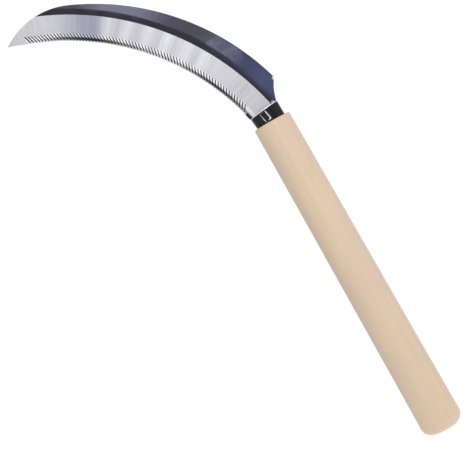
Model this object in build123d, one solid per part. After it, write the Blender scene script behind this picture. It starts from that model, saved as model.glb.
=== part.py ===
from build123d import *
import os
from math import atan2, cos, degrees, radians, sin, tan

# A hand sickle with a saw-toothed blade, in millimetres.
# +Z runs up the handle towards the blade, -X is the cutting side, and -Y is the ground,
# toothed face of the blade. The origin is the middle of the grip, on the handle's axis.

# Handle: a turned blank pressed to an oval, so depth is a share of width.
handle_length = 233.0
handle_width_top = 26.2
handle_width_middle = 27.4
handle_width_butt = 29.1
handle_depth_share = 0.84
shoulder_round = 1.2
butt_round = 6.0
butt_sag = 3.4
butt_flat_radius = 4.0

# Ferrule: an oval steel collar, leaning a little to the cutting side, with a sloping rim.
ferrule_width_bottom = 20.6
ferrule_width_rim = 21.2
ferrule_depth = 16.4
ferrule_wall = 0.9
ferrule_centre_bottom = -0.45
ferrule_centre_rim = -0.95
rim_height = 9.25
rim_slope = 7.0
rim_round = 0.3
loft_height = 12.0
crimp_width = 4.7
crimp_height = 7.2
crimp_depth = 0.45
crimp_turn = 12.0
crimp_centre = (-2.25, 4.5)

# Tenon: the end of the wood inside the ferrule.
tenon_height = 7.2
wood_clearance = 0.05

# Blade, measured from the handle's shoulder.
blade_thickness = 1.6
edge_thickness = 0.45
edge_centre = (-170.1, -29.3)
edge_radius = 162.4
edge_heel_angle = 13.3
edge_tip_arc_end = 60.0
edge_tip_bulge = 0.5
bevel_width = 17.2
spine_centre = (-147.2, -22.6)
spine_radius = 169.75
spine_tip_angle = 66.4
blade_tip = (-127.7, 128.3)
heel_corner = (15.4, 24.9)
neck_middle = (11.9, 18.2)
neck_foot_x = 9.4
corner_round = 0.6
heel_land_width = 2.1
heel_land_angle = 1.6

# Teeth: slanting notches filed across the ground face, from the tip towards the heel.
tooth_count = 72
tooth_first_from_tip = 16.15
tooth_first_pitch = 2.044
tooth_pitch_growth = 0.0032
tooth_slant = 37.0
tooth_reach = 5.1
tooth_depth = 0.68
tooth_steep_flank = 28.0
tooth_shallow_flank = 55.0
cutter_height = 0.85

# Tang: the blade's tail, inside the ferrule and the wood.
tang_length = 62.0
tang_width_top = 15.0
tang_width_end = 9.0
tang_centre_x = -0.6
tang_end_round = 3.0

# Retaining nail, driven from the back of the handle through the tang.
nail_drop = 14.0
nail_shank = 2.2
nail_head = 4.4
nail_head_thickness = 0.9
nail_length = 16.0
nail_point = 2.5
nail_sunk = 0.2
tang_hole_clearance = 0.1

shoulder_z = handle_length / 2
side_plane = Plane(origin=(0, 0, shoulder_z), x_dir=(1, 0, 0), z_dir=(0, -1, 0))


def rim_z(x):
    """Height of the ferrule's rim above the shoulder, at this x."""
    return rim_height + tan(radians(rim_slope)) * (x - ferrule_centre_rim)


def on_circle(centre, radius, angle):
    """Point of a circle in the blade's plane; the angle is in degrees from +X."""
    return (centre[0] + radius * cos(radians(angle)), centre[1] + radius * sin(radians(angle)))


def blade_extrude(face, thickness):
    """Solid of a face drawn in the blade's plane, equally thick on both sides of it."""
    return extrude(face, amount=thickness / 2, both=True)


def tang_face(clearance=0.0):
    """Outline of the tang, tapering down from the rim, grown by a clearance."""
    top = tang_width_top / 2 + clearance
    end = tang_width_end / 2 + clearance
    low = rim_height - tang_length - clearance
    high = rim_height + 2
    with BuildSketch(side_plane) as tang:
        with BuildLine():
            Polyline(
                (tang_centre_x - top, high),
                (tang_centre_x - end, low),
                (tang_centre_x + end, low),
                (tang_centre_x + top, high),
                close=True,
            )
        make_face()
        fillet(tang.vertices().sort_by(Axis.Y)[:2], tang_end_round)
    return tang.sketch


def above_rim():
    """Everything above the ferrule's sloping rim."""
    rim_plane = Plane(
        origin=(0, 0, shoulder_z + rim_z(0)),
        x_dir=(cos(radians(rim_slope)), 0, sin(radians(rim_slope))),
        z_dir=(-sin(radians(rim_slope)), 0, cos(radians(rim_slope))),
    )
    return rim_plane * Box(600, 60, 300, align=(Align.CENTER, Align.CENTER, Align.MIN))


def blade_face():
    """Outline of the blade above the ferrule's rim, without its teeth."""
    tip_angle = degrees(atan2(blade_tip[1] - edge_centre[1], blade_tip[0] - edge_centre[0]))
    edge_start = on_circle(edge_centre, edge_radius, edge_heel_angle)
    edge_middle = on_circle(edge_centre, edge_radius, (edge_heel_angle + edge_tip_arc_end) / 2)
    edge_end = on_circle(edge_centre, edge_radius, edge_tip_arc_end)
    near_tip = on_circle(edge_centre, edge_radius - edge_tip_bulge, tip_angle - 4.5)
    edge_tangent = (-sin(radians(edge_tip_arc_end)), cos(radians(edge_tip_arc_end)))
    spine_end = on_circle(spine_centre, spine_radius, spine_tip_angle)
    spine_tangent = (-sin(radians(spine_tip_angle)), cos(radians(spine_tip_angle)))
    corner_angle = degrees(
        atan2(heel_corner[1] - spine_centre[1], heel_corner[0] - spine_centre[0])
    )
    corner = on_circle(spine_centre, spine_radius, corner_angle)
    spine_middle = on_circle(spine_centre, spine_radius, (corner_angle + spine_tip_angle) / 2)
    neck_foot = (neck_foot_x, rim_z(neck_foot_x))
    foot_left = (edge_start[0], rim_z(edge_start[0]))
    with BuildSketch(side_plane) as outline:
        with BuildLine():
            Line(foot_left, edge_start)
            ThreePointArc(edge_start, edge_middle, edge_end)
            Spline(edge_end, near_tip, blade_tip, tangents=[edge_tangent, (-0.93, 0.37)])
            TangentArc(spine_end, blade_tip, tangent=spine_tangent)
            ThreePointArc(spine_end, spine_middle, corner)
            ThreePointArc(corner, neck_middle, neck_foot)
            Line(neck_foot, foot_left)
        make_face()
        fillet(outline.vertices().sort_by_distance(Vector(*corner))[0], corner_round)
    return outline.sketch


def bevel_cutter():
    """Ring wedge that grinds the front face down towards the cutting edge."""
    front = -blade_thickness / 2
    edge_y = blade_thickness / 2 - edge_thickness
    slope = (edge_y - front) / bevel_width
    inner = edge_radius - 3
    outer = edge_radius + bevel_width + 3
    ring_plane = Plane(origin=(edge_centre[0], 0, shoulder_z + edge_centre[1]))
    with BuildSketch(ring_plane) as wedge:
        with BuildLine():
            Polyline(
                (inner, edge_y + 3 * slope),
                (outer, front - 3 * slope),
                (inner, front - 3 * slope),
                close=True,
            )
        make_face()
    axis = Axis((edge_centre[0], 0, shoulder_z + edge_centre[1]), (0, 1, 0))
    return revolve(wedge.sketch, axis)


def heel_land():
    """Short strip beside the edge, next to the ferrule, that is left unground."""
    land_plane = Plane(origin=(edge_centre[0], 0, shoulder_z + edge_centre[1]))
    ring = land_plane * Pos(edge_radius + heel_land_width / 2 - 3, 0, 0) * Rectangle(
        heel_land_width + 6, 10
    )
    axis = Axis((edge_centre[0], 0, shoulder_z + edge_centre[1]), (0, -1, 0))
    return revolve(ring, axis, edge_heel_angle + heel_land_angle)


def tooth_cutter(angle):
    """Notch with one steep and one shallow flank, deepest at the edge at this angle."""
    foot_x, foot_z = on_circle(edge_centre, edge_radius, angle)
    slant = radians(angle + tooth_slant)
    run = tooth_reach / cos(radians(tooth_slant))
    edge_y = blade_thickness / 2 - edge_thickness
    slope = (edge_y + blade_thickness / 2) / bevel_width
    floor_start = edge_y + tooth_depth
    floor_end = edge_y - slope * tooth_reach
    along = Vector(run * cos(slant), floor_end - floor_start, run * sin(slant)).normalized()
    across = Vector(sin(slant), 0, -cos(slant))
    start = Vector(foot_x, floor_start, shoulder_z + foot_z) - along
    steep = cutter_height * tan(radians(tooth_steep_flank))
    shallow = cutter_height * tan(radians(tooth_shallow_flank))
    notch_plane = Plane(origin=start, x_dir=across, z_dir=along)
    up = -cutter_height if notch_plane.y_dir.Y > 0 else cutter_height
    with BuildSketch(notch_plane) as notch:
        with BuildLine():
            Polyline((0, 0), (steep, up), (-shallow, up), close=True)
        make_face()
    return extrude(notch.sketch, amount=run + 2)


def tooth_angles():
    """Angles of the notches about the edge's centre, with a pitch that grows to the heel."""
    tip_angle = degrees(atan2(blade_tip[1] - edge_centre[1], blade_tip[0] - edge_centre[0]))
    angles = []
    for index in range(tooth_count):
        growth = tooth_pitch_growth * index * (index - 1) / 2
        from_tip = tooth_first_from_tip + tooth_first_pitch * index + growth
        angles.append(tip_angle - degrees(from_tip / edge_radius))
    return angles


def nail_solid(clearance=0.0, recess=0.0):
    """Round nail lying along Y, point towards the front, grown by a clearance."""
    head_y = handle_depth_share * handle_width_top / 2 - nail_sunk
    head_radius = nail_head / 2 + clearance
    shank_radius = nail_shank / 2 + clearance
    neck_y = head_y - nail_head_thickness
    point_y = head_y - nail_length
    with BuildSketch(Plane.XY) as half:
        with BuildLine():
            Polyline(
                (0, point_y - clearance),
                (0, head_y + recess),
                (head_radius, head_y + recess),
                (head_radius, neck_y - clearance),
                (shank_radius, neck_y - clearance),
                (shank_radius, point_y + nail_point),
                (0, point_y - clearance),
            )
        make_face()
    return Pos(0, 0, shoulder_z - nail_drop) * revolve(half.sketch, Axis.Y)


def make_blade():
    plate = blade_extrude(blade_face(), blade_thickness)
    grinding = bevel_cutter() & above_rim()
    plate -= grinding - heel_land()
    plate = plate.cut(*[tooth_cutter(angle) for angle in tooth_angles()])
    tang = blade_extrude(tang_face(), blade_thickness) - above_rim()
    blade = plate + tang
    hole = Rot(90, 0, 0) * Cylinder(nail_shank / 2 + tang_hole_clearance, 10)
    return blade - Pos(0, 0, shoulder_z - nail_drop) * hole


def ferrule_core(inset, top=loft_height):
    """Solid oval that fills the ferrule's outside, drawn in by an inset."""
    lean = (ferrule_centre_rim - ferrule_centre_bottom) / rim_height
    grow = (ferrule_width_rim - ferrule_width_bottom) / 2 / rim_height
    depth = ferrule_depth / 2 - inset
    sections = []
    for height in (0, top):
        centre = ferrule_centre_bottom + lean * height
        half_width = ferrule_width_bottom / 2 + grow * height - inset
        sections.append(Pos(centre, 0, shoulder_z + height) * Ellipse(half_width, depth))
    return loft(sections)


def make_ferrule():
    body = ferrule_core(0) - above_rim()
    rim_edges = body.edges().sort_by(Axis.Z)[-1]
    body = fillet(rim_edges, rim_round)
    crimp = side_plane * Pos(*crimp_centre) * Rot(0, 0, crimp_turn) * RectangleRounded(
        crimp_width, crimp_height, 0.8
    )
    body -= extrude(crimp, amount=30) - ferrule_core(crimp_depth)
    return body - ferrule_core(ferrule_wall)


def butt_trim():
    """Waste below the domed butt: a block with a ball's underside taken out of it."""
    half_width = handle_width_butt / 2
    ball_radius = (half_width**2 + butt_sag**2) / (2 * butt_sag)
    flat_rise = ball_radius - (ball_radius**2 - butt_flat_radius**2) ** 0.5
    ball_z = -shoulder_z - flat_rise + ball_radius
    block = Pos(0, 0, ball_z) * Box(60, 60, 100, align=(Align.CENTER, Align.CENTER, Align.MAX))
    return block - Pos(0, 0, ball_z) * Sphere(ball_radius)


def make_handle():
    sections = []
    for height, width in (
        (shoulder_z, handle_width_top),
        (0, handle_width_middle),
        (-shoulder_z, handle_width_butt),
    ):
        sections.append(Pos(0, 0, height) * Ellipse(width / 2, width / 2 * handle_depth_share))
    grip = loft(sections) - butt_trim()
    low_edges = grip.edges().filter_by_position(Axis.Z, -shoulder_z, -shoulder_z + 2 * butt_sag)
    grip = fillet(low_edges.sort_by(SortBy.LENGTH)[-1], butt_round)
    grip = fillet(grip.faces().sort_by(Axis.Z)[-1].edges(), shoulder_round)
    tenon = ferrule_core(ferrule_wall + wood_clearance, tenon_height)
    slot = blade_extrude(tang_face(wood_clearance), blade_thickness + 2 * wood_clearance)
    return grip + tenon - slot - nail_solid(wood_clearance, recess=5)


pieces = {
    "blade": make_blade(),
    "ferrule": make_ferrule(),
    "handle": make_handle(),
    "retaining_nail": nail_solid(),
}

os.makedirs("parts", exist_ok=True)
for name, piece in pieces.items():
    solid = piece.solids()[0]
    solid.label = name
    export_step(solid, f"parts/{name}.step")
    print(name, round(solid.volume), "cubic mm", solid.bounding_box())
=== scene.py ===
# %% [markdown]
# A hand sickle with a saw-toothed blade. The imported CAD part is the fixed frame: the whole
# visual model is built around it, in metres, with +Z up the handle towards the blade,
# -X on the cutting side and -Y on the ground face of the blade.
# %% Load the frame
from math import atan2, cos, degrees, exp, hypot, pi, radians, sin, sqrt, tan

import bmesh
import bpy
from mathutils import Matrix, Vector


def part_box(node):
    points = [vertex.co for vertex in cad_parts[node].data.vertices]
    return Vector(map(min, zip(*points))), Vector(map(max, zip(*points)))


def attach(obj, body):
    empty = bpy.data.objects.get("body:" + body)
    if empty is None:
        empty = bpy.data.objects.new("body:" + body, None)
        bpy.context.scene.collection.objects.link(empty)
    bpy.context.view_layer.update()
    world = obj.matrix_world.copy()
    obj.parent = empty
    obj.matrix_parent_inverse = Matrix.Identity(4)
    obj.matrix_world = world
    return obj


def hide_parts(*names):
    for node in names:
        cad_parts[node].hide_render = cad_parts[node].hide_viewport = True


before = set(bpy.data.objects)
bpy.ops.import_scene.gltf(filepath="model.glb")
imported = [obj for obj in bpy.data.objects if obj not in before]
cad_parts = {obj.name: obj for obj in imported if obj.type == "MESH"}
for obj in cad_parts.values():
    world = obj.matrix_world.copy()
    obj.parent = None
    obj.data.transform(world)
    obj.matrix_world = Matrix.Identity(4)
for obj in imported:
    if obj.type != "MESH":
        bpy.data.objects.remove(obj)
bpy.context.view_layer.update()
mm = 0.001

# %% [markdown]
# Two heights of the frame place everything else: the shoulder, where the wood's end face
# meets the steel collar, and the lowest point of the butt.
# %% Heights read from the frame
shoulder_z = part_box("ferrule")[0].z
butt_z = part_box("handle")[0].z
print("shoulder and butt, mm:", [round(z / mm, 1) for z in (shoulder_z, butt_z)])

# %% [markdown]
# The camera stands a metre in front of the blade's ground face, level with the upper part of
# the grip, and is rolled so that the handle leans to the left. A long lens keeps the outline
# almost free of perspective. Its shift and depth of field stay at nothing.
# %% Camera
view_distance = 1.0
view_width = 311.5 * mm
handle_lean = 29.5
aim = Vector((-54.1 * mm, 0, shoulder_z - 47.6 * mm))

camera_data = bpy.data.cameras.new("studio_camera")
camera_data.sensor_width = 36.0
camera_data.lens = camera_data.sensor_width * view_distance / view_width
camera = bpy.data.objects.new("studio_camera", camera_data)
bpy.context.scene.collection.objects.link(camera)
camera_right = Vector((cos(radians(handle_lean)), 0, -sin(radians(handle_lean))))
camera_up = Vector((sin(radians(handle_lean)), 0, cos(radians(handle_lean))))
turn = Matrix((camera_right, camera_up, Vector((0, -1, 0)))).transposed()
camera.matrix_world = Matrix.Translation(aim - Vector((0, view_distance, 0))) @ turn.to_4x4()
bpy.context.scene.camera = camera
print("lens, mm:", round(camera_data.lens, 1))

# %% [markdown]
# A white table and a white tent of light suit polished steel and black lacquer: both show
# what surrounds them more than their own colour. The tent is a little brighter to the eye than
# the light it gives, and the table glows slightly, so that the two meet without a horizon.
# %% Table and tent
def make_table():
    bm = bmesh.new()
    bmesh.ops.create_circle(bm, cap_ends=True, segments=96, radius=3.0)
    bmesh.ops.translate(bm, verts=bm.verts, vec=(0, 0, butt_z - 0.05 * mm))
    mesh = bpy.data.meshes.new("white_table")
    bm.to_mesh(mesh)
    bm.free()
    table = bpy.data.objects.new("white_table", mesh)
    bpy.context.scene.collection.objects.link(table)
    paint = bpy.data.materials.new("white_table_paint")
    paint.use_nodes = True
    shader = paint.node_tree.nodes["Principled BSDF"]
    shader.inputs["Base Color"].default_value = (0.9, 0.9, 0.9, 1)
    shader.inputs["Roughness"].default_value = 0.9
    shader.inputs["Specular IOR Level"].default_value = 0.0
    shader.inputs["Emission Color"].default_value = (1, 1, 1, 1)
    shader.inputs["Emission Strength"].default_value = 0.52
    mesh.materials.append(paint)


def make_tent(light_given, light_seen):
    tent = bpy.data.worlds.new("white_tent")
    bpy.context.scene.world = tent
    tent.use_nodes = True
    nodes, links = tent.node_tree.nodes, tent.node_tree.links
    background = nodes["Background"]
    background.inputs["Color"].default_value = (1, 1, 1, 1)
    path = nodes.new("ShaderNodeLightPath")
    strength = nodes.new("ShaderNodeMapRange")
    strength.inputs["To Min"].default_value = light_given
    strength.inputs["To Max"].default_value = light_seen
    links.new(path.outputs["Is Camera Ray"], strength.inputs["Value"])
    links.new(strength.outputs["Result"], background.inputs["Strength"])
    print("tent gives", light_given, "and is seen as", light_seen)


make_table()
make_tent(light_given=0.52, light_seen=1.05)
bpy.context.scene.view_settings.view_transform = "Standard"

# %% [markdown]
# Four lamps work inside the tent. The front lamp stands high, a little to the right, and rounds
# the wood. The other three hang above the camera, square to the arc of the blade, and are what
# the leaning part of the lacquered band shows: a long dim strip, and two small bright panels
# that make the streak stronger over the blade's middle and again before the heel.
# %% Lamps
def soft_lamp(name, place, target, size, power, roll=0.0, tint=(1, 1, 1)):
    lamp = bpy.data.lights.new(name, "AREA")
    lamp.shape = "RECTANGLE"
    lamp.size, lamp.size_y = size
    lamp.energy = power
    lamp.color = tint
    holder = bpy.data.objects.new(name, lamp)
    aim_turn = (Vector(target) - Vector(place)).to_track_quat("-Z", "Y").to_matrix()
    holder.matrix_world = Matrix.Translation(place) @ (
        aim_turn @ Matrix.Rotation(radians(roll), 3, "Z")
    ).to_4x4()
    bpy.context.scene.collection.objects.link(holder)
    print(name, "at", [round(v, 2) for v in place], "power", power)


def lamp_over_blade(name, angle, out, size, radiance):
    """A panel in the camera's plane, mirrored by the band at this angle about the edge."""
    mirror_centre = Vector((-0.286, 0.105))
    place = mirror_centre + out * Vector((cos(radians(angle)), sin(radians(angle))))
    power = radiance * pi * size[0] * size[1]
    target = (-0.05, 0, 0.2)
    place = (place.x, -view_distance, place.y)
    soft_lamp(name, place, target, size, power, roll=angle - 90, tint=(0.95, 0.91, 1.3))


soft_lamp("front_lamp", place=(0.32, -0.95, 0.92), target=(0, 0, 0), size=(0.6, 0.6), power=8.6)
lamp_over_blade("long_strip", angle=51.0, out=0.51, size=(0.34, 0.17), radiance=1.0)
lamp_over_blade("middle_panel", angle=50.5, out=0.51, size=(0.12, 0.18), radiance=3.1)
lamp_over_blade("heel_panel", angle=28.0, out=0.45, size=(0.045, 0.055), radiance=4.7)

# %% [markdown]
# Every new piece is drawn in millimetres above the shoulder, because that is how a maker would
# measure it, and is brought to its place in metres at the end. Its object stays at the origin,
# so that patterns on Object coordinates lie on it just as they do on the CAD nodes.
# %% From millimetres above the shoulder to a finished piece
def crease_sharp_edges(bm, limit):
    for face in bm.faces:
        face.smooth = True
    for edge in bm.edges:
        edge.smooth = len(edge.link_faces) == 2 and edge.calc_face_angle() < radians(limit)


def mesh_in_place(bm, name):
    bmesh.ops.scale(bm, verts=bm.verts, vec=(mm, mm, mm))
    bmesh.ops.translate(bm, verts=bm.verts, vec=(0, 0, shoulder_z))
    mesh = bpy.data.meshes.new(name)
    bm.to_mesh(mesh)
    bm.free()
    return mesh


def finish_piece(bm, name, finishes, node, crease=20.0):
    bmesh.ops.recalc_face_normals(bm, faces=bm.faces)
    crease_sharp_edges(bm, crease)
    open_edges = sum(1 for edge in bm.edges if len(edge.link_faces) != 2)
    mesh = mesh_in_place(bm, name)
    for finish in finishes:
        mesh.materials.append(finish)
    piece = bpy.data.objects.new(name, mesh)
    bpy.context.scene.collection.objects.link(piece)
    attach(piece, "root")
    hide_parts(node)
    print(name, "faces:", len(mesh.polygons), "open edges:", open_edges)
    print("  size, mm:", [round(v / mm, 1) for v in piece.dimensions])
    return piece


# %% [markdown]
# Collar, handle and nail are round things, so each is an outline spun once round an axis. A
# ready-made cylinder, pushed into shape, would need every rounded edge to be bevelled later.
# %% One full turn of an outline
def spun_round(bm, outline, closed=False, axis=(0, 0, 1), centre=(0, 0, 0), steps=128):
    """Spin an outline once round: a closed one makes a ring, an open one a solid's skin."""
    line = [bm.verts.new(place) for place in outline]
    first = 0 if closed else 1
    edges = [bm.edges.new((line[at - 1], line[at])) for at in range(first, len(line))]
    bmesh.ops.spin(
        bm, geom=line + edges, cent=centre, axis=axis, angle=2 * pi, steps=steps, use_merge=True
    )
    bmesh.ops.remove_doubles(bm, verts=bm.verts, dist=0.001)
    print("spun", len(outline), "points in", steps, "steps:", len(bm.faces), "faces")


# %% [markdown]
# Holes are bored with a Boolean modifier, which is the clean way to cross two curved walls.
# The bored mesh is read back and kept, so no modifier is left on the piece.
# %% Boring a hole along Y
def bore(piece, radius, start_y, end_y, height):
    bm = bmesh.new()
    bmesh.ops.create_cone(
        bm, cap_ends=True, segments=48, radius1=radius, radius2=radius, depth=abs(end_y - start_y)
    )
    bmesh.ops.rotate(bm, verts=bm.verts, cent=(0, 0, 0), matrix=Matrix.Rotation(pi / 2, 3, "X"))
    bmesh.ops.translate(bm, verts=bm.verts, vec=(0, (start_y + end_y) / 2, height))
    drill = bpy.data.objects.new("drill", mesh_in_place(bm, "drill"))
    bpy.context.scene.collection.objects.link(drill)
    cut = piece.modifiers.new("bore", "BOOLEAN")
    cut.object = drill
    cut.operation = "DIFFERENCE"
    cut.solver = "EXACT"
    bored = bpy.data.meshes.new_from_object(
        piece.evaluated_get(bpy.context.evaluated_depsgraph_get())
    )
    piece.modifiers.clear()
    old = piece.data
    piece.data = bored
    bored.name = piece.name
    bpy.data.meshes.remove(old)
    bpy.data.meshes.remove(drill.data)
    print("bored", round(2 * radius, 2), "mm into", piece.name, "faces:", len(bored.polygons))


# %% [markdown]
# The blade is one forged and ground piece of steel. Its cutting edge and the line where the
# ground bevel stops are arcs about one centre, so each point of the blade is best named by its
# angle about that centre and its distance from the edge. The spine is a larger arc about
# another centre, and a tighter arc takes it down to the tip. Over its middle the edge is filed
# a little fuller than its arc, and it straightens before the tip with a slight bulge. These are
# the outline's arcs, in degrees, and in millimetres across and above the shoulder.
# %% Blade: outline
edge_centre = Vector((-170.1, -29.3))
edge_radius = 162.4
edge_straightens_at = 60.0
edge_tip_bulge = 0.6
edge_full_from = 12.0
edge_full_to = 64.0
edge_full_by = 0.28
spine_centre = Vector((-147.2, -22.6))
spine_radius = 169.75
spine_tightens_at = 66.4
blade_tip = Vector((-127.7, 128.3))
heel_corner_angle = 16.22
neck_middle = Vector((11.9, 18.2))
neck_foot = Vector((9.4, 10.5))
rim_angle_at_edge = 13.25
rim_angle_at_neck = 12.5


def along_ray(angle):
    return Vector((cos(radians(angle)), sin(radians(angle))))


def angle_about_edge(point):
    across = point - edge_centre
    return degrees(atan2(across.y, across.x))


def circle_through(first, second, third):
    """Centre and radius of the circle through three points."""
    one, two = second - first, third - first
    cross = 2 * (one.x * two.y - one.y * two.x)
    to_centre = Vector((
        two.y * one.length_squared - one.y * two.length_squared,
        one.x * two.length_squared - two.x * one.length_squared,
    )) / cross
    return first + to_centre, to_centre.length


def ray_meets(angle, centre, radius, far=True):
    """Distance along a ray from the edge's centre to the far or near side of a circle."""
    to_centre = centre - edge_centre
    along = along_ray(angle).dot(to_centre)
    half_chord = sqrt(max(along**2 - to_centre.length_squared + radius**2, 0.0))
    return along + half_chord if far else along - half_chord


tip_angle = angle_about_edge(blade_tip)
tip_offset = (blade_tip - edge_centre).length - edge_radius
spine_end = spine_centre + spine_radius * along_ray(spine_tightens_at)
spine_end_angle = angle_about_edge(spine_end)
to_tip = blade_tip - spine_end
inward = -along_ray(spine_tightens_at)
tip_arc_radius = to_tip.length_squared / (2 * to_tip.dot(inward))
tip_arc_centre = spine_end + inward * tip_arc_radius
heel_reach = ray_meets(heel_corner_angle, spine_centre, spine_radius)
heel_corner = edge_centre + along_ray(heel_corner_angle) * heel_reach
neck_centre, neck_radius = circle_through(heel_corner, neck_middle, neck_foot)
print("tip at", round(tip_angle, 1), "degrees, its arc's radius", round(tip_arc_radius, 1), "mm")
print("heel corner", [round(v, 1) for v in heel_corner], "neck radius", round(neck_radius, 1))


def blade_reach(angle):
    """Distance from the edge's arc to the spine or neck, at an angle about the edge's centre."""
    if angle > spine_end_angle:
        return ray_meets(angle, tip_arc_centre, tip_arc_radius) - edge_radius
    if angle >= heel_corner_angle:
        return ray_meets(angle, spine_centre, spine_radius) - edge_radius
    return ray_meets(angle, neck_centre, neck_radius, far=False) - edge_radius


def share_of_way(value, start, end):
    """How far a value has come from start to end: 0 before it, 1 past it."""
    return min(max((value - start) / (end - start), 0.0), 1.0)


def edge_offset(angle):
    """How far the cutting edge lies from its arc, towards the spine."""
    straight = share_of_way(angle, edge_straightens_at, tip_angle)
    bulge = edge_tip_bulge * sin(pi * straight) ** 2
    fullness = edge_full_by * sin(pi * share_of_way(angle, edge_full_from, edge_full_to)) ** 2
    return tip_offset * straight - bulge - fullness


# %% [markdown]
# The cross-section runs from the edge up the ground bevel to the bevel line, on over the
# lacquered band, round the spine and down the flat back. The band has a narrow flat beside the
# bevel line and then leans back a little towards the spine, which is what makes it catch the
# strip lamp as a long bright streak with a crisp lower side. Pairs of rows close together keep
# each corner crisp, and a guard row beside the rounding, on the front and on the back, keeps the
# flats' shading flat right up to it. Bevelling a flat plate would need less code, but gives no
# say in where these rows lie.
# %% Blade: cross-section
front_y = -0.8
back_y = 0.8
edge_thickness = 0.45
bevel_width = 17.2
bevel_slope = (back_y - front_y - edge_thickness) / bevel_width
land_width = 2.1
land_step = 0.06
tooth_reach = 5.1
band_flat_end = 21.3
band_lean = 0.42
band_least_lean_width = 7.0
spine_round = 0.45
spine_round_share = 0.4
guard_share = 0.15
back_bare = 1.7
beside_line = 0.12
beside_flat = 0.3
tooth_rows = (0.0, 1.05, land_width - land_step, land_width + land_step, 3.1, 4.1, 4.85, tooth_reach)
bevel_rows = (7.0, 9.0, 11.0, 13.0, 15.0, bevel_width - beside_line, bevel_width)
band_rows = (bevel_width + beside_line, 18.6, band_flat_end - beside_flat, band_flat_end + beside_flat)
lean_steps = 6
round_steps = 6
back_steps = 7


def front_depth(across, reach):
    """Depth of the front face: the bevel, the flat, then the leaning part of the band."""
    if across < bevel_width:
        return front_y + (bevel_width - across) * bevel_slope
    lean = max(across - band_flat_end, 0.0) / max(reach - band_flat_end, band_least_lean_width)
    return front_y + band_lean * lean


def cross_section(reach, edge_at):
    """Points (distance from the edge's arc, depth) once round the blade."""
    rounding = min(spine_round, spine_round_share * (reach - edge_at))
    flat_end = reach - rounding
    guard = flat_end - guard_share * rounding
    front = [edge_at + step for step in tooth_rows] + list(bevel_rows) + list(band_rows)
    start = min(front[-1], guard)
    front += [start + (guard - start) * step / lean_steps for step in range(1, lean_steps + 1)]
    front = [min(x, guard) for x in front] + [flat_end]
    points = [(x, front_depth(x, reach)) for x in front]
    top = points[-1][1]
    half_height = (back_y - top) / 2
    for step in range(1, 2 * round_steps):
        turn = pi * step / (2 * round_steps)
        points.append((flat_end + rounding * sin(turn), top + half_height * (1 - cos(turn))))
    points.append((flat_end, back_y))
    bare_at = min(edge_at + back_bare, guard)
    for step in range(back_steps + 1):
        points.append((guard + (bare_at - guard) * step / back_steps, back_y))
    points.append((edge_at, back_y))
    return points


blank_section = cross_section(reach=24.0, edge_at=0.0)
print("points in the section:", len(blank_section))

# %% [markdown]
# Notches are filed slantwise across the bevel. Each has a steep flank on the heel's side and a
# shallow one on the tip's side, with a narrow land between notches. Stations along the edge
# are set where those flanks begin and end, so that every notch is real geometry. Cutting them
# out with a Boolean each would do as well, but leaves ragged faces. Beside the collar a short
# strip along the edge is left unground.
# %% Blade: stations along the edge
tooth_count = 72
tooth_start = 16.15
tooth_pitch = 2.044
tooth_growth = 0.0032
tooth_slant = 37.0
tooth_depth = 0.66
notch_cut = 0.75
steep_share = 0.21
shallow_share = 0.56
tip_steps = 18
heel_steps = 8
heel_land_angle = 1.6
edge_length = radians(tip_angle - rim_angle_at_edge) * edge_radius
land_start = edge_length - radians(heel_land_angle) * edge_radius


def notch_place(index):
    """Distance from the tip, along the edge, of a notch's floor."""
    return tooth_start + tooth_pitch * index + tooth_growth * index * (index - 1) / 2


def edge_stations():
    """(distance from the tip, notch share) along the edge, from the tip to the collar."""
    first = notch_place(0) - shallow_share * tooth_pitch
    stations = [(first * step / tip_steps, 0.0) for step in range(tip_steps)]
    for index in range(tooth_count):
        floor_at = notch_place(index)
        pitch = notch_place(index + 1) - floor_at
        stations.append((floor_at - shallow_share * pitch, 0.0))
        stations.append((floor_at - 0.5 * shallow_share * pitch, 0.5))
        stations.append((floor_at, 1.0))
        stations.append((floor_at + steep_share * pitch, 0.0))
    stations += [(land_start - land_step, 0.0), (land_start + land_step, 0.0)]
    last = stations[-1][0]
    left = edge_length - last
    stations += [(last + left * step / heel_steps, 0.0) for step in range(1, heel_steps + 1)]
    return stations


stations = edge_stations()
teeth_begin = stations[tip_steps][0]
teeth_end = stations[-heel_steps - 3][0]
print("edge", round(edge_length, 1), "mm")
print("teeth from", round(teeth_begin, 1), "to", round(teeth_end, 1), "mm from the tip")

# %% [markdown]
# The section is drawn once, at the collar, and spun about the edge's centre, one step for each
# station. Each point of the spun blank is then eased to its place: along the edge to its
# station, across to the blade's width there, slantwise in the teeth, and into the notches. Over
# the last degrees before the collar the rays turn a little, so that the blank ends on its rim.
# %% Blade: easing a point of the blank to its place
slant_width_share = 0.42
collar_easing = 5.0
notch_margin = 0.1
least_floor = 0.06


def slant_shift(height, width, from_tip):
    """How far towards the tip the notches' slant has carried a point at this height."""
    toothed = min(from_tip / teeth_begin, 1.0)
    if from_tip > teeth_end:
        toothed = 1 - share_of_way(from_tip, teeth_end, land_start - land_step)
    turn_at = min(tooth_reach, slant_width_share * width)
    fade_at = min(bevel_width, width)
    if height <= turn_at:
        rise = height
    else:
        rise = turn_at * max(1 - (height - turn_at) / (fade_at - turn_at), 0.0)
    return tan(radians(tooth_slant)) * rise * toothed


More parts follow.
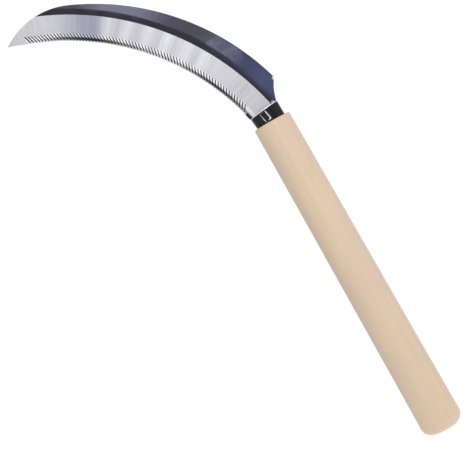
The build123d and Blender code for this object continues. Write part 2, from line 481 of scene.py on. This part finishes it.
def eased_place(from_tip, notch, row):
    """Place of a row of the section at a station, and its (run, height, cut) on the blade."""
    angle = tip_angle - degrees(from_tip / edge_radius)
    near_collar = max(1 - (angle - rim_angle_at_edge) / collar_easing, 0.0)
    tilt = (rim_angle_at_edge - rim_angle_at_neck) * near_collar
    reach = blade_reach(angle - tilt)
    edge_at = edge_offset(angle)
    across, depth = cross_section(reach, edge_at)[row]
    height = across - edge_at
    cut = 0.0
    if notch and height < tooth_reach - notch_margin:
        height += notch_cut * notch**2 * (1 - height / tooth_reach)
        across = edge_at + height
        cut = notch
        if depth < back_y:
            sunk = tooth_depth * notch * (1 - height / tooth_reach)
            depth = min(front_depth(across, reach) + sunk, back_y - least_floor)
    if from_tip > land_start and height < land_width and depth < back_y:
        depth = front_y
    shift = slant_shift(height, reach - edge_at, from_tip)
    turned = angle + degrees(shift / edge_radius) - tilt * across / reach
    place = edge_centre + along_ray(turned) * (edge_radius + across)
    return Vector((place.x, depth, place.y)), Vector((from_tip - shift, height, cut))


# %% Blade: spin the blank and shape it
def spun_blade(bm):
    row_mark = bm.verts.layers.int.new("row")
    loop = []
    for row, (across, depth) in enumerate(blank_section):
        out = edge_centre + along_ray(rim_angle_at_edge) * (edge_radius + across)
        loop.append(bm.verts.new((out.x, depth, out.y)))
        loop[-1][row_mark] = row
    ring = [bm.edges.new((loop[row - 1], loop[row])) for row in range(len(loop))]
    steps = len(stations) - 1
    bmesh.ops.spin(
        bm, geom=loop + ring, cent=(edge_centre.x, 0, edge_centre.y), axis=(0, -1, 0),
        angle=radians(tip_angle - rim_angle_at_edge), steps=steps, use_merge=False,
    )
    on_blade = bm.verts.layers.float_vector.new("on_blade")
    step_angle = (tip_angle - rim_angle_at_edge) / steps
    for point in bm.verts:
        angle = angle_about_edge(Vector((point.co.x, point.co.z)))
        from_tip, notch = stations[steps - round((angle - rim_angle_at_edge) / step_angle)]
        point.co, point[on_blade] = eased_place(from_tip, notch, point[row_mark])
    bmesh.ops.remove_doubles(bm, verts=bm.verts, dist=0.004)
    print("spun blank:", len(bm.verts), "points")


# %% [markdown]
# Below the collar's rim the blade goes on as a tapered tang, which the wood and the collar hold.
# It is extruded from the blade's open edges: in to the tang's width, down to its end, and closed.
# One fault is left in. A few open edges at the tip are taken too, so a thin stray sheet runs
# from the tip to the collar, and because the width is measured over all of those edges, the tang
# comes out only about 2 mm wide. Taking only the edges near the collar would cure both.
# %% Blade: tang
rim_height = 9.25
rim_centre = -0.95
rim_slope = 7.0
tang_length = 62.0
tang_widths = (15.0, 9.0)
tang_middle = -0.6
tang_top_drop = 0.02
nail_drop = 14.0
nail_shank = 2.2
nail_hole_play = 0.1


def rim_z(x):
    return rim_height + tan(radians(rim_slope)) * (x - rim_centre)


def add_tang(bm):
    ring = [edge for edge in bm.edges if edge.is_boundary]
    places = [vert.co.x for edge in ring for vert in edge.verts]
    middle, width = (min(places) + max(places)) / 2, max(places) - min(places)
    for new_width, drop in ((tang_widths[0], tang_top_drop), (tang_widths[1], tang_length)):
        new = bmesh.ops.extrude_edge_only(bm, edges=ring)["geom"]
        ring = [item for item in new if isinstance(item, bmesh.types.BMEdge)]
        for vert in (item for item in new if isinstance(item, bmesh.types.BMVert)):
            vert.co.x = tang_middle + (vert.co.x - middle) * new_width / width
            if vert.co.y < back_y - 0.02 and abs(vert.co.x - tang_middle) < 0.499 * new_width:
                vert.co.y = front_y
            vert.co.z = rim_z(vert.co.x) - drop
        middle, width = tang_middle, new_width
    bmesh.ops.holes_fill(bm, edges=ring, sides=0)


# %% [markdown]
# The bevel, the notches and a narrow strip on the back are bright ground steel. Everything else
# is lacquered, and so is the unground strip beside the collar. At the heel's corner and where the
# neck meets the collar, bright steel is painted through the lacquer: partly wear, partly a painted
# highlight for the glint of these edges. Each such spot has a middle and a radius, over which the
# mask fades.
# %% Blade: which faces are ground
worn_and_glint_spots = ((heel_corner + Vector((-0.7, -0.2)), 1.1), (Vector((7.1, 10.9)), 1.2))


def is_ground(face):
    place = face.calc_center_median()
    across = (Vector((place.x, place.z)) - edge_centre).length - edge_radius
    if place.z < rim_z(place.x) - 0.01:
        return False
    from_tip = radians(tip_angle - angle_about_edge(Vector((place.x, place.z)))) * edge_radius
    if from_tip > land_start and across < land_width:
        return False
    if place.y > back_y - 0.01:
        return across < back_bare - 0.1
    return across < bevel_width


# %% Blade: put together
def make_blade(ground_finish, lacquer_finish):
    bm = bmesh.new()
    spun_blade(bm)
    add_tang(bm)
    bmesh.ops.dissolve_degenerate(bm, dist=0.003, edges=bm.edges)
    # A mask of bright steel at these spots: wear, and a painted highlight for their glint.
    wear_and_glint = bm.verts.layers.float.new("wear_and_glint")
    for point in bm.verts:
        place = Vector((point.co.x, point.co.z))
        point[wear_and_glint] = max(
            exp(-(((place - middle).length / radius) ** 2)) for middle, radius in worn_and_glint_spots
        )
    for face in bm.faces:
        face.material_index = 0 if is_ground(face) else 1
    piece = finish_piece(
        bm, "blade_forged", (ground_finish, lacquer_finish), "blade"
    )
    bore(piece, nail_shank / 2 + nail_hole_play, start_y=-5.0, end_y=5.0, height=-nail_drop)
    return piece


# %% [markdown]
# The collar is a short oval steel tube, pressed on over the wood and lacquered black. Its rim
# slopes up towards the spine, and one oblong dimple is pressed into its front to lock it. The
# wall's section is spun about Z as a plain ring, then squeezed to the oval, leaned a little and
# brought to the slope by moving its points, and last the dimple is pressed in. The ring has many
# steps, so that the dimple gets enough points of its own.
# %% Collar: sizes
collar_width_foot = 20.6
collar_width_rim = 21.2
collar_depth = 16.4
collar_wall = 0.9
collar_centre_foot = -0.45
rim_round = 0.3
dimple_width = 4.7
dimple_height = 7.2
dimple_depth = 0.45
dimple_corner = 0.8
dimple_turn = 12.0
dimple_centre = Vector((-2.25, 4.5))
blank_radius = 10.0
blank_height = 10.0
rim_wear_and_glint_from = 0.93
rim_wear_and_glint_at = 0.965


def dimple_place(x, height):
    """Place in the dimple's own turned axes, and signed distance from its outline."""
    turn = radians(dimple_turn)
    off = Vector((x, height)) - dimple_centre
    u, v = off.x * cos(turn) + off.y * sin(turn), off.y * cos(turn) - off.x * sin(turn)
    over_u = abs(u) - dimple_width / 2 + dimple_corner
    over_v = abs(v) - dimple_height / 2 + dimple_corner
    outside = hypot(max(over_u, 0.0), max(over_v, 0.0))
    return u, v, outside + min(max(over_u, over_v), 0.0) - dimple_corner


def smooth_step(low, high, value):
    share = share_of_way(value, low, high)
    return share * share * (3 - 2 * share)


# %% [markdown]
# Bright steel is painted along the rim and as a line round the dimple: partly lacquer worn by
# handling where the metal stands out, partly a painted highlight on these edges. The line is
# strongest on the dimple's side towards the spine and weakest at its two ends.
# %% Collar: wear and painted highlight round the dimple
def dimple_wear_and_glint(u, v, away):
    """Strength of the line of wear and painted highlight, a soft band that lies a little inside the
    dimple's outline.
    """
    if u > 0:
        strength, inside, spread = 1.0, 0.52, 0.33
    else:
        strength, inside, spread = 0.45 + 0.35 * smooth_step(3.0, -3.5, v), 0.12, 0.34
    if v > dimple_height / 2 - 0.9 and abs(u) < dimple_width / 2 - 0.5:
        strength = 0.25
    if v < -dimple_height / 2 + 0.9 and u < 0.2:
        strength = 0.3
    return strength * exp(-(((away + inside) / spread) ** 2))


# %% Collar: spin the wall, squeeze it to shape and press the dimple
def wall_section():
    """Closed section of the wall (radius, height) of the plain ring."""
    inner = blank_radius - collar_wall
    rows = 48
    outside = [(blank_radius, (blank_height - rim_round) * row / rows) for row in range(rows + 1)]
    rim = []
    for centre, start in ((blank_radius - rim_round, 0.0), (inner + rim_round, pi / 2)):
        for step in range(5):
            turn = start + pi / 2 * step / 4
            rim.append((centre + rim_round * cos(turn), blank_height - rim_round * (1 - sin(turn))))
    return outside + rim[1:-1] + [(inner, blank_height - rim_round), (inner, 0.0)]


def make_collar(finish):
    bm = bmesh.new()
    section = [(radius, 0, height) for radius, height in wall_section()]
    spun_round(bm, section, closed=True, steps=288)
    wear_and_glint = bm.verts.layers.float.new("wear_and_glint")
    for point in bm.verts:
        turn = atan2(point.co.y, point.co.x)
        inset = blank_radius - hypot(point.co.x, point.co.y)
        share = point.co.z / blank_height
        half_width = (collar_width_foot + (collar_width_rim - collar_width_foot) * share) / 2
        centre = collar_centre_foot + (rim_centre - collar_centre_foot) * share
        x = centre + (half_width - inset) * cos(turn)
        y = (collar_depth / 2 - inset) * sin(turn)
        height = share * rim_z(x)
        u, v, away = dimple_place(x, height)
        if y < 0 and inset < 0.01:
            y += dimple_depth * smooth_step(0.05, 0.5, -away)
            point[wear_and_glint] = dimple_wear_and_glint(u, v, away)
        # Along the rim's crest the mask paints a highlight line as bright steel, partly as wear.
        if share > rim_wear_and_glint_from:
            point[wear_and_glint] = max(point[wear_and_glint], smooth_step(rim_wear_and_glint_from, rim_wear_and_glint_at, share))
        point.co = Vector((x, y, height))
    return finish_piece(bm, "ferrule_collar", (finish,), "ferrule", crease=40.0)


# %% [markdown]
# The handle is a turned blank pressed to an oval, slightly thicker towards the butt. Half of
# its outline is drawn as a few points and spun about Z, then squeezed front to back. The
# corners of the butt and the shoulder are arcs in that outline. The tenon that fills the
# collar is extruded from the ring left open at the shoulder.
# %% Handle: sizes
handle_length = 233.0
half_widths = (13.1, 13.7, 14.55)
depth_share = 0.84
shoulder_round = 1.2
butt_round = 7.2
butt_sag = 3.7
butt_flat = 3.6
tenon_half_width = 9.35
tenon_half_depth = 7.25
tenon_height = 7.2
tenon_lean = -0.39

# %% Handle: half of its outline
def handle_outline():
    """Half outline (radius, height above the shoulder), from the butt's middle upwards."""
    top, middle, butt = half_widths
    ball = ((butt - butt_flat) ** 2 + butt_sag**2) / (2 * butt_sag)
    corner_at = butt - butt_round
    points = [(0.0, 0.0), (butt_flat / 2, 0.0)]
    for step in range(6):
        radius = butt_flat + (corner_at - butt_flat) * step / 5
        points.append((radius, ball - sqrt(ball**2 - (radius - butt_flat) ** 2)))
    low = points[-1][1]
    lean = 0.5 * (corner_at - butt_flat) / ball
    for step in range(1, 13):
        turn = lean + (pi / 2 - lean) * step / 12
        points.append((
            corner_at + butt_round * (sin(turn) - sin(lean)) / (1 - sin(lean)),
            low + butt_round * (cos(lean) - cos(turn)),
        ))
    start = points[-1][1]
    side_end = handle_length - shoulder_round
    for step in range(1, 33):
        height = start + (side_end - start) * step / 32
        share = height / handle_length
        if share < 0.5:
            radius = butt + (middle - butt) * 2 * share
        else:
            radius = middle + (top - middle) * (2 * share - 1)
        points.append((radius, height))
    edge = points[-1][0]
    for step in range(1, 7):
        turn = pi / 2 * step / 6
        points.append((
            edge - shoulder_round * (1 - cos(turn)), side_end + shoulder_round * sin(turn)
        ))
    return [(radius, height - handle_length) for radius, height in points]


# %% [markdown]
# The nail's sizes come before the handle is made, because the handle gets a recess in its back
# for the nail's head, which lies a little below the wood.
# %% Nail: sizes
nail_head = 4.4
nail_head_thickness = 0.9
nail_head_play = 0.06
nail_head_sunk = 0.2
nail_head_dome = 0.35
nail_length = 16.0
nail_point = 2.5
head_face_y = depth_share * half_widths[0] - nail_head_sunk

# %% Handle: spin, squeeze, and raise the tenon
def make_handle(finish):
    bm = bmesh.new()
    spun_round(bm, [(radius, 0, height) for radius, height in handle_outline()])
    bmesh.ops.scale(bm, verts=bm.verts, vec=(1, depth_share, 1))
    ring = [edge for edge in bm.edges if edge.is_boundary]
    for height, lean in ((0.0, 0.0), (tenon_height, tenon_lean)):
        new = bmesh.ops.extrude_edge_only(bm, edges=ring)["geom"]
        ring = [item for item in new if isinstance(item, bmesh.types.BMEdge)]
        for vert in (item for item in new if isinstance(item, bmesh.types.BMVert)):
            turn = atan2(vert.co.y / depth_share, vert.co.x)
            if height:
                vert.co += Vector((lean, 0, height))
            else:
                vert.co.x = collar_centre_foot + tenon_half_width * cos(turn)
                vert.co.y = tenon_half_depth * sin(turn)
    bmesh.ops.holes_fill(bm, edges=ring, sides=0)
    piece = finish_piece(bm, "handle_grip", (finish,), "handle", crease=40.0)
    bore(
        piece, nail_head / 2 + nail_head_play, start_y=head_face_y - nail_head_thickness, end_y=14.0,
        height=-nail_drop,
    )
    return piece


# %% [markdown]
# One small nail, driven from the back through a hole in the tang, keeps the blade in the wood.
# Its head has a low dome and a rounded edge. Half of its outline is spun about the nail's own
# axis, which lies along Y.
# %% Nail
def make_nail(finish):
    neck = head_face_y - nail_head_thickness
    point_y = head_face_y - nail_length
    head, shank = nail_head / 2, nail_shank / 2
    outline = [(0.0, point_y), (0.35, point_y + 0.3), (shank, point_y + nail_point), (shank, neck)]
    outline += [(head - 0.1, neck), (head, neck + 0.1), (head, head_face_y - nail_head_dome)]
    for step in range(1, 9):
        turn = pi / 2 * step / 8
        radius = head * cos(turn) if step < 8 else 0.0
        outline.append((radius, head_face_y - nail_head_dome * (1 - sin(turn))))
    bm = bmesh.new()
    places = [(radius, along, -nail_drop) for radius, along in outline]
    spun_round(bm, places, axis=(0, 1, 0), centre=(0, 0, -nail_drop), steps=48)
    return finish_piece(
        bm, "retaining_nail_head_and_shank", (finish,), "retaining_nail", crease=50.0
    )


# %% [markdown]
# Finishes are built from nodes. Three effects are shared by several of them, so each is a node
# group, made once: a soft cloudy drift between two values, fine drawn lines such as grinding
# marks or wood fibres, and bright steel brought out through lacquer by a mask, for wear and for
# painted highlights. A painted pattern would fix the size of every mark, while nodes let each
# piece choose its own.
# %% Shared effects: helpers
def new_group(name, inputs, outputs):
    group = bpy.data.node_groups.new(name, "ShaderNodeTree")
    for label, kind, value in inputs:
        socket = group.interface.new_socket(name=label, in_out="INPUT", socket_type=kind)
        if value is not None:
            socket.default_value = value
    for label, kind in outputs:
        group.interface.new_socket(name=label, in_out="OUTPUT", socket_type=kind)
    return group, group.nodes.new("NodeGroupInput"), group.nodes.new("NodeGroupOutput")


def add_node(tree, kind, settings=None, **inputs):
    """A node with its settings, and its inputs given as values or as other nodes' outputs.

    An input is named by its label, or by its number, as in _6, where labels repeat.
    """
    node = tree.nodes.new(kind)
    for key, value in (settings or {}).items():
        setattr(node, key, value)
    for label, value in inputs.items():
        socket = node.inputs[int(label[1:]) if label[0] == "_" else label.replace("_", " ")]
        if isinstance(value, bpy.types.NodeSocket):
            tree.links.new(value, socket)
        else:
            socket.default_value = value
    return node


FLOAT, COLOUR, VECTOR = "NodeSocketFloat", "NodeSocketColor", "NodeSocketVector"

# %% Shared effect: soft drift
def build_soft_drift():
    group, given, out = new_group(
        "soft_drift",
        (("Vector", VECTOR, None), ("Scale", FLOAT, 20.0), ("Low", FLOAT, 0.0), ("High", FLOAT, 1.0)),
        (("Value", FLOAT),),
    )
    noise = add_node(
        group, "ShaderNodeTexNoise", Vector=given.outputs["Vector"], Scale=given.outputs["Scale"],
        Detail=2.0, Roughness=0.5,
    )
    spread = add_node(
        group, "ShaderNodeMapRange", {"interpolation_type": "SMOOTHSTEP"}, Value=noise.outputs["Fac"],
        From_Min=0.3, From_Max=0.7, To_Min=given.outputs["Low"], To_Max=given.outputs["High"],
    )
    group.links.new(spread.outputs["Result"], out.inputs["Value"])
    return group


# %% Shared effect: drawn lines
def build_drawn_lines():
    group, given, out = new_group(
        "drawn_lines",
        (("Vector", VECTOR, None), ("Stretch", VECTOR, (1, 1, 1)), ("Low", FLOAT, 0.0),
         ("High", FLOAT, 1.0)),
        (("Value", FLOAT),),
    )
    stretched = add_node(
        group, "ShaderNodeVectorMath", {"operation": "MULTIPLY"}, _0=given.outputs["Vector"],
        _1=given.outputs["Stretch"],
    )
    noise = add_node(
        group, "ShaderNodeTexNoise", Vector=stretched.outputs["Vector"], Scale=1.0, Detail=3.0,
        Roughness=0.6,
    )
    spread = add_node(
        group, "ShaderNodeMapRange", Value=noise.outputs["Fac"], From_Min=0.3, From_Max=0.7,
        To_Min=given.outputs["Low"], To_Max=given.outputs["High"],
    )
    group.links.new(spread.outputs["Result"], out.inputs["Value"])
    return group


# %% Shared effect: steel through the lacquer, for wear and painted highlights
def build_worn_and_glint_steel():
    group, given, out = new_group(
        "worn_and_glint_steel",
        (("Colour", COLOUR, (0, 0, 0, 1)), ("Roughness", FLOAT, 0.2), ("Mask", FLOAT, 0.0),
         ("Vector", VECTOR, None)),
        (("Colour", COLOUR), ("Metallic", FLOAT), ("Roughness", FLOAT)),
    )
    grit = add_node(group, "ShaderNodeTexNoise", Vector=given.outputs["Vector"], Scale=900.0, Detail=2.0)
    broken = add_node(
        group, "ShaderNodeMath", {"operation": "MULTIPLY_ADD"}, _0=grit.outputs["Fac"], _1=0.3, _2=-0.15
    )
    ragged = add_node(
        group, "ShaderNodeMath", {"operation": "MULTIPLY_ADD"}, _0=broken.outputs["Value"],
        _1=given.outputs["Mask"], _2=given.outputs["Mask"],
    )
    mask = add_node(
        group, "ShaderNodeMapRange", {"interpolation_type": "SMOOTHSTEP"},
        Value=ragged.outputs["Value"], From_Min=0.12, From_Max=0.85,
    )
    # Where the mask is full the colour turns to bright steel: worn lacquer, and painted highlights.
    colour = add_node(
        group, "ShaderNodeMix", {"data_type": "RGBA"}, Factor=mask.outputs["Result"],
        _6=given.outputs["Colour"], _7=(0.93, 0.93, 0.94, 1),
    )
    rough = add_node(
        group, "ShaderNodeMapRange", Value=mask.outputs["Result"], To_Min=given.outputs["Roughness"],
        To_Max=0.32,
    )
    metal = add_node(group, "ShaderNodeMapRange", Value=mask.outputs["Result"], To_Max=0.55)
    group.links.new(colour.outputs[2], out.inputs["Colour"])
    group.links.new(metal.outputs["Result"], out.inputs["Metallic"])
    group.links.new(rough.outputs["Result"], out.inputs["Roughness"])
    return group


soft_drift = build_soft_drift()
drawn_lines = build_drawn_lines()
worn_and_glint_steel = build_worn_and_glint_steel()
print("shared effects:", [group.name for group in (soft_drift, drawn_lines, worn_and_glint_steel)])

# %% [markdown]
# Each finish starts from a Principled shader. What is the same all over is set straight on its
# sockets, and what changes over the surface is linked in.
# %% Finishes: helper
def new_finish(name, **constants):
    finish = bpy.data.materials.new(name)
    finish.use_nodes = True
    shader = finish.node_tree.nodes["Principled BSDF"]
    for label, value in constants.items():
        shader.inputs[label.replace("_", " ")].default_value = value
    return finish, finish.node_tree, shader


def greys(tree, value, stops):
    """A ramp of greys fed by a value, from (position, grey) stops."""
    ramp = add_node(tree, "ShaderNodeValToRGB", Fac=value)
    elements = ramp.color_ramp.elements
    while len(elements) < len(stops):
        elements.new(0.5)
    for element, (position, grey) in zip(elements, stops):
        element.position = position
        element.color = (grey, grey, grey, 1)
    return ramp.outputs["Color"]


def mixed(tree, kind, factor, first, second):
    """Two colours mixed or multiplied; the Mix node's colours are its sockets 6, 7 and 2."""
    settings = {"data_type": "RGBA", "blend_type": kind}
    return add_node(tree, "ShaderNodeMix", settings, Factor=factor, _6=first, _7=second).outputs[2]


def ranged(tree, value, start, end, low=0.0, high=1.0, smooth=True):
    """A value's way from start to end turned into low to high, and held outside them."""
    curve = "SMOOTHSTEP" if smooth else "LINEAR"
    return add_node(
        tree, "ShaderNodeMapRange", {"interpolation_type": curve}, Value=value, From_Min=start,
        From_Max=end, To_Min=low, To_Max=high,
    ).outputs["Result"]


def worked(tree, operation, *values):
    """A Math node's value."""
    given = {f"_{index}": value for index, value in enumerate(values)}
    return add_node(tree, "ShaderNodeMath", {"operation": operation}, **given).outputs["Value"]


def waved(tree, run, length, crest, low, high):
    """A sine wave along the blade, from its length and the place of one crest."""
    turn = worked(tree, "MULTIPLY_ADD", run, 2 * pi / length, pi / 2 - 2 * pi * crest / length)
    return ranged(tree, worked(tree, "SINE", turn), -1.0, 1.0, low, high, smooth=False)


def lines_of(tree, place, stretch, low, high):
    """The drawn lines' value at a place."""
    return add_node(
        tree, "ShaderNodeGroup", {"node_tree": drawn_lines}, Vector=place, Stretch=stretch, Low=low,
        High=high,
    ).outputs["Value"]


def drift_of(tree, place, scale, low, high):
    """The soft drift's value at a place."""
    return add_node(
        tree, "ShaderNodeGroup", {"node_tree": soft_drift}, Vector=place, Scale=scale, Low=low,
        High=high,
    ).outputs["Value"]


def bumped(tree, shader, height, strength, distance):
    """Fine relief: the height feeds a Bump node, and that feeds the shader's Normal."""
    bump = add_node(tree, "ShaderNodeBump", Height=height, Strength=strength, Distance=distance)
    tree.links.new(bump.outputs["Normal"], shader.inputs["Normal"])


# %% [markdown]
# The ground steel is satin. Fine marks of the wheel run across the bevel. Its colour also carries
# painted reflections: soft ripple bands along the bevel, one darker, bluer band nearer the tip that
# comes on slowly and ends quickly, and a darkening towards the tip and again towards the heel. The
# filed notches and a line above the tooth points that swells and thins are painted dark, as painted
# shade, while the lands between the notches get a painted highlight. The pattern follows the blade,
# so it reads the blade's own attribute: millimetres from the tip, height above the edge, and depth
# of cut.
# %% Finish: ground steel
def ground_steel():
    finish, tree, shader = new_finish("ground_steel")
    on_blade = add_node(tree, "ShaderNodeAttribute", {"attribute_name": "on_blade"}).outputs["Vector"]
    place = add_node(tree, "ShaderNodeSeparateXYZ", Vector=on_blade)
    run, height, cut = (place.outputs[axis] for axis in "XYZ")

    # Painted reflection: a darker, bluer band nearer the tip, and soft ripple bands over the middle.
    painted_dark_band = worked(
        tree, "MULTIPLY", ranged(tree, run, 26.0, 54.0), ranged(tree, run, 55.0, 65.0, 1.0, 0.0)
    )
    steel = mixed(tree, "MIX", painted_dark_band, (0.83, 0.83, 0.85, 1), (0.49, 0.49, 0.59, 1))
    painted_ripple_span = worked(
        tree, "MULTIPLY", ranged(tree, run, 54.0, 62.0), ranged(tree, run, 126.0, 140.0, 1.0, 0.0)
    )
    painted_ripple_bands = mixed(tree, "MIX", painted_ripple_span, (1, 1, 1, 1), waved(tree, run, 12.7, 64.0, 0.9, 1.08))
    marks = lines_of(tree, on_blade, (4.2, 0.05, 0.0), 0.97, 1.03)
    # Multiplied in: the wheel's marks and a broad streaking, which are real, and two painted darkenings
    # along the blade, towards the tip and towards the heel.
    marks_and_painted_bands = (
        painted_ripple_bands, marks, lines_of(tree, on_blade, (0.16, 0.07, 0.0), 0.96, 1.03),
        ranged(tree, run, 62.0, 116.0, 0.89, 0.98), ranged(tree, run, 125.0, 160.0, 1.0, 0.84),
    )
    for shade in marks_and_painted_bands:
        steel = mixed(tree, "MULTIPLY", 1.0, steel, shade)

    # Painted highlight: over the teeth the steel's colour is brightened and made less metallic, so the
    # lands between the notches read bright.
    painted_tooth_glint = ranged(tree, run, 12.0, 18.0, 0.0, ranged(tree, height, 4.3, 5.6, 1.0, 0.0), smooth=False)
    steel = mixed(tree, "MULTIPLY", 1.0, steel, ranged(tree, painted_tooth_glint, 0.0, 1.0, 1.0, 1.22, smooth=False))
    tree.links.new(ranged(tree, painted_tooth_glint, 0.0, 1.0, 1.0, 0.6, smooth=False), shader.inputs["Metallic"])

    # Painted shade: the notches, and a line above the tooth points whose wave makes it swell and thin,
    # are coloured near black where the grooves lie in shade.
    narrowest = ranged(tree, run, 15.0, 45.0, 0.38, 0.56, smooth=False)
    narrowing = ranged(tree, height, 0.0, 4.8, 0.36, narrowest, smooth=False)
    painted_notch_shade = ranged(tree, worked(tree, "SUBTRACT", cut, narrowing), -0.14, 0.1)
    line = ranged(tree, height, 2.1, 3.4, 1.0, 0.0)
    line = worked(tree, "MULTIPLY", line, waved(tree, run, 89.0, 55.3, 0.38, 0.97))
    line = worked(tree, "MULTIPLY", line, ranged(tree, run, 14.0, 34.0, smooth=False))
    painted_groove_shade = worked(
        tree, "MULTIPLY", worked(tree, "MAXIMUM", line, painted_notch_shade), ranged(tree, height, 0.2, 1.3, 0.4, 1.0)
    )
    steel = mixed(tree, "MIX", painted_groove_shade, steel, (0.012, 0.012, 0.015, 1))

    tree.links.new(steel, shader.inputs["Base Color"])
    satin = lines_of(tree, on_blade, (3.0, 0.04, 0.0), 0.26, 0.38)
    tree.links.new(satin, shader.inputs["Roughness"])
    bumped(tree, shader, marks, strength=0.07, distance=0.02 * mm)
    return finish


# %% [markdown]
# The blade's lacquer is glossy and blue-black, bluest on the front towards the heel. The
# collar's is plain black. Both lie over steel, which a mask brings out as bright steel: partly
# wear, partly painted highlights at edges. Their gloss drifts a little, as brushed-on lacquer's
# does, and they carry a trace of unevenness. One function makes both, because they differ only
# in values.
# %% Finish: lacquers
def lacquer(name, ior, deep, cloud_stretch, cloud_range, heel=None):
    finish, tree, shader = new_finish(name, IOR=ior)
    where = add_node(tree, "ShaderNodeTexCoord").outputs["Object"]
    colour = deep
    if heel:
        attribute = add_node(tree, "ShaderNodeAttribute", {"attribute_name": "on_blade"})
        place = add_node(tree, "ShaderNodeSeparateXYZ", Vector=attribute.outputs["Vector"])
        depth = add_node(tree, "ShaderNodeSeparateXYZ", Vector=where).outputs["Y"]
        bluing = worked(
            tree, "MULTIPLY", ranged(tree, place.outputs["X"], 115.0, 172.0),
            ranged(tree, place.outputs["Y"], 17.8, 22.5),
        )
        in_front = ranged(tree, depth, 0.3 * mm, 0.7 * mm, 1.0, 0.0)
        bluing = worked(tree, "MULTIPLY", bluing, in_front)
        colour = mixed(tree, "MIX", bluing, deep, heel)
    colour = mixed(tree, "MULTIPLY", 1.0, colour, lines_of(tree, where, cloud_stretch, *cloud_range))
    mask = add_node(tree, "ShaderNodeAttribute", {"attribute_name": "wear_and_glint"})
    worn_and_glint_mix = add_node(
        tree, "ShaderNodeGroup", {"node_tree": worn_and_glint_steel}, Colour=colour,
        Roughness=drift_of(tree, where, 90.0, 0.07, 0.13), Mask=mask.outputs["Fac"], Vector=where,
    )
    tree.links.new(worn_and_glint_mix.outputs["Colour"], shader.inputs["Base Color"])
    tree.links.new(worn_and_glint_mix.outputs["Metallic"], shader.inputs["Metallic"])
    tree.links.new(worn_and_glint_mix.outputs["Roughness"], shader.inputs["Roughness"])
    bumped(tree, shader, drift_of(tree, where, 260.0, 0.0, 1.0), strength=0.12, distance=0.03 * mm)
    return finish


# %% [markdown]
# The wood is pale, close and left bare. Growth rings are shells about a pith line well outside
# the blank, so the sides show long faint lines and the butt shows arcs, as a solid piece of
# wood does. Fibres run up the handle, and the colour drifts between cream and rose.
# %% Finish: wood
def pale_wood():
    finish, tree, shader = new_finish(
        "pale_wood", IOR=1.45, Sheen_Weight=0.4, Sheen_Roughness=0.5, Sheen_Tint=(0.74, 0.86, 1.0, 1)
    )
    where = add_node(tree, "ShaderNodeTexCoord").outputs["Object"]
    drift = drift_of(tree, where, 24.0, 0.0, 1.0)
    colour = mixed(tree, "MIX", drift, (0.597, 0.461, 0.318, 1), (0.586, 0.443, 0.332, 1))
    from_pith = add_node(
        tree, "ShaderNodeMapping", {"vector_type": "POINT"}, Vector=where, Location=(0.046, 0.021, 0.0),
        Rotation=(0.02, -0.015, 0.0),
    )
    rings = add_node(
        tree, "ShaderNodeTexWave", {"wave_type": "RINGS", "rings_direction": "Z"},
        Vector=from_pith.outputs["Vector"], Scale=55.0, Distortion=1.6, Detail=2.0, Detail_Scale=1.2,
    )
    late_wood = greys(tree, rings.outputs["Fac"], ((0.0, 1.0), (0.7, 0.993), (1.0, 0.972)))
    fibres = lines_of(tree, where, (1500.0, 1500.0, 28.0), 0.965, 1.02)
    flecks = lines_of(tree, where, (420.0, 420.0, 9.0), 0.975, 1.02)
    for shade in (late_wood, fibres, flecks):
        colour = mixed(tree, "MULTIPLY", 1.0, colour, shade)
    tree.links.new(colour, shader.inputs["Base Color"])
    rough = lines_of(tree, where, (900.0, 900.0, 20.0), 0.5, 0.64)
    tree.links.new(rough, shader.inputs["Roughness"])
    bumped(tree, shader, fibres, strength=0.25, distance=0.06 * mm)
    return finish


# %% [markdown]
# The nail is plain drawn steel, dulled by the air: grey metal whose shade and roughness drift
# over a millimetre or so.
# %% Finish: nail steel
def nail_steel():
    finish, tree, shader = new_finish("dull_nail_steel", Metallic=1.0)
    where = add_node(tree, "ShaderNodeTexCoord").outputs["Object"]
    dull = drift_of(tree, where, 700.0, 0.75, 1.05)
    colour = mixed(tree, "MULTIPLY", 1.0, (0.52, 0.52, 0.53, 1), dull)
    tree.links.new(colour, shader.inputs["Base Color"])
    tree.links.new(drift_of(tree, where, 900.0, 0.3, 0.5), shader.inputs["Roughness"])
    return finish


# %% [markdown]
# Each finish is made once, with its own values, before the piece that wears it.
# %% Make the finishes
steel = ground_steel()
blade_lacquer = lacquer(
    "blue_black_lacquer", 1.52, (0.011, 0.010, 0.018, 1), (60.0, 60.0, 60.0), (0.75, 1.25),
    heel=(0.036, 0.046, 0.108, 1),
)
collar_lacquer = lacquer(
    "plain_black_lacquer", 1.42, (0.007, 0.007, 0.009, 1), (330.0, 330.0, 40.0), (0.1, 2.4)
)
wood = pale_wood()
dull_steel = nail_steel()
finishes = (steel, blade_lacquer, collar_lacquer, wood, dull_steel)
print("finishes:", [finish.name for finish in finishes])

# %% [markdown]
# With the finishes ready, the four pieces are made one after another.
# %% Make the pieces
make_blade(steel, blade_lacquer)
make_collar(collar_lacquer)
make_handle(wood)
make_nail(dull_steel)
